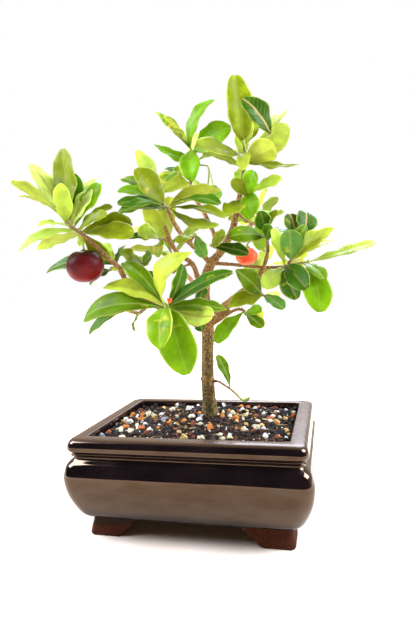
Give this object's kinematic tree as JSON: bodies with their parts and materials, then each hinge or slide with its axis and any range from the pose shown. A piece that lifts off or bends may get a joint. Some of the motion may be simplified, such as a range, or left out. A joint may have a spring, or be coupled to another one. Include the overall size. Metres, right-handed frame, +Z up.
{
  "type": "barbados cherry bonsai in a pot",
  "caption": "Small barbados cherry tree grown as a bonsai, with leafy limbs and cherries, in gravelled soil in a low glazed rectangular pot on corner feet.",
  "frame": {"origin": "on the surface that the feet stand on, under the middle of the pot", "axes": "+Z up, +X to the right along the pot's long side, +Y to the back"},
  "size_m": [0.2256, 0.159, 0.2911],
  "materials": {
    "glazed_clay": "dark brown-black high gloss glaze, bare red-brown clay under the feet",
    "plastic_screen": "matte",
    "soil": "rough mixed gravel in black organic soil",
    "bark": "rough grey-brown bark with pale dots, mossy at the foot",
    "leaf": "semi-gloss living leaves, paler below",
    "ripe_fruit": "glossy thin skin",
    "orange_fruit": "glossy thin skin",
    "green_fruit": "glossy thin skin",
    "stalk": "smooth green stalk"
  },
  "bodies": {
    "root": {"pot": "glazed_clay", "drain_screen_left": "plastic_screen", "drain_screen_right": "plastic_screen", "soil_and_gravel": "soil", "trunk_and_limbs": "bark", "leafy_stem_left_tip": "leaf", "leafy_stem_left_low": "leaf", "leafy_stem_limb_under": "leaf", "leafy_stem_limb_top": "leaf", "leafy_stem_front": "leaf", "leafy_stem_upper_left": "leaf", "leafy_stem_top_left": "leaf", "leafy_stem_top": "leaf", "leafy_stem_leader_right": "leaf", "leafy_stem_right_upper": "leaf", "leafy_stem_right": "leaf", "leafy_stem_right_low": "leaf", "leafy_stem_right_under": "leaf", "leafy_stem_middle": "leaf", "leafy_stem_middle_left": "leaf", "leafy_stem_fork": "leaf", "leafy_stem_trunk_middle": "leaf", "leafy_stem_trunk_low": "leaf", "leafy_stem_low_twig": "leaf", "leafy_stem_back_left": "leaf", "leafy_stem_back_right": "leaf", "leafy_stem_back_top": "leaf", "leafy_stem_back_low": "leaf", "ripe_cherry": "ripe_fruit", "orange_cherry": "orange_fruit", "green_cherry_left": "green_fruit", "green_cherry_right": "green_fruit", "ripe_cherry_stalk": "stalk", "orange_cherry_stalk": "stalk", "green_cherry_stalks": "stalk"}
  },
  "joints": []
}
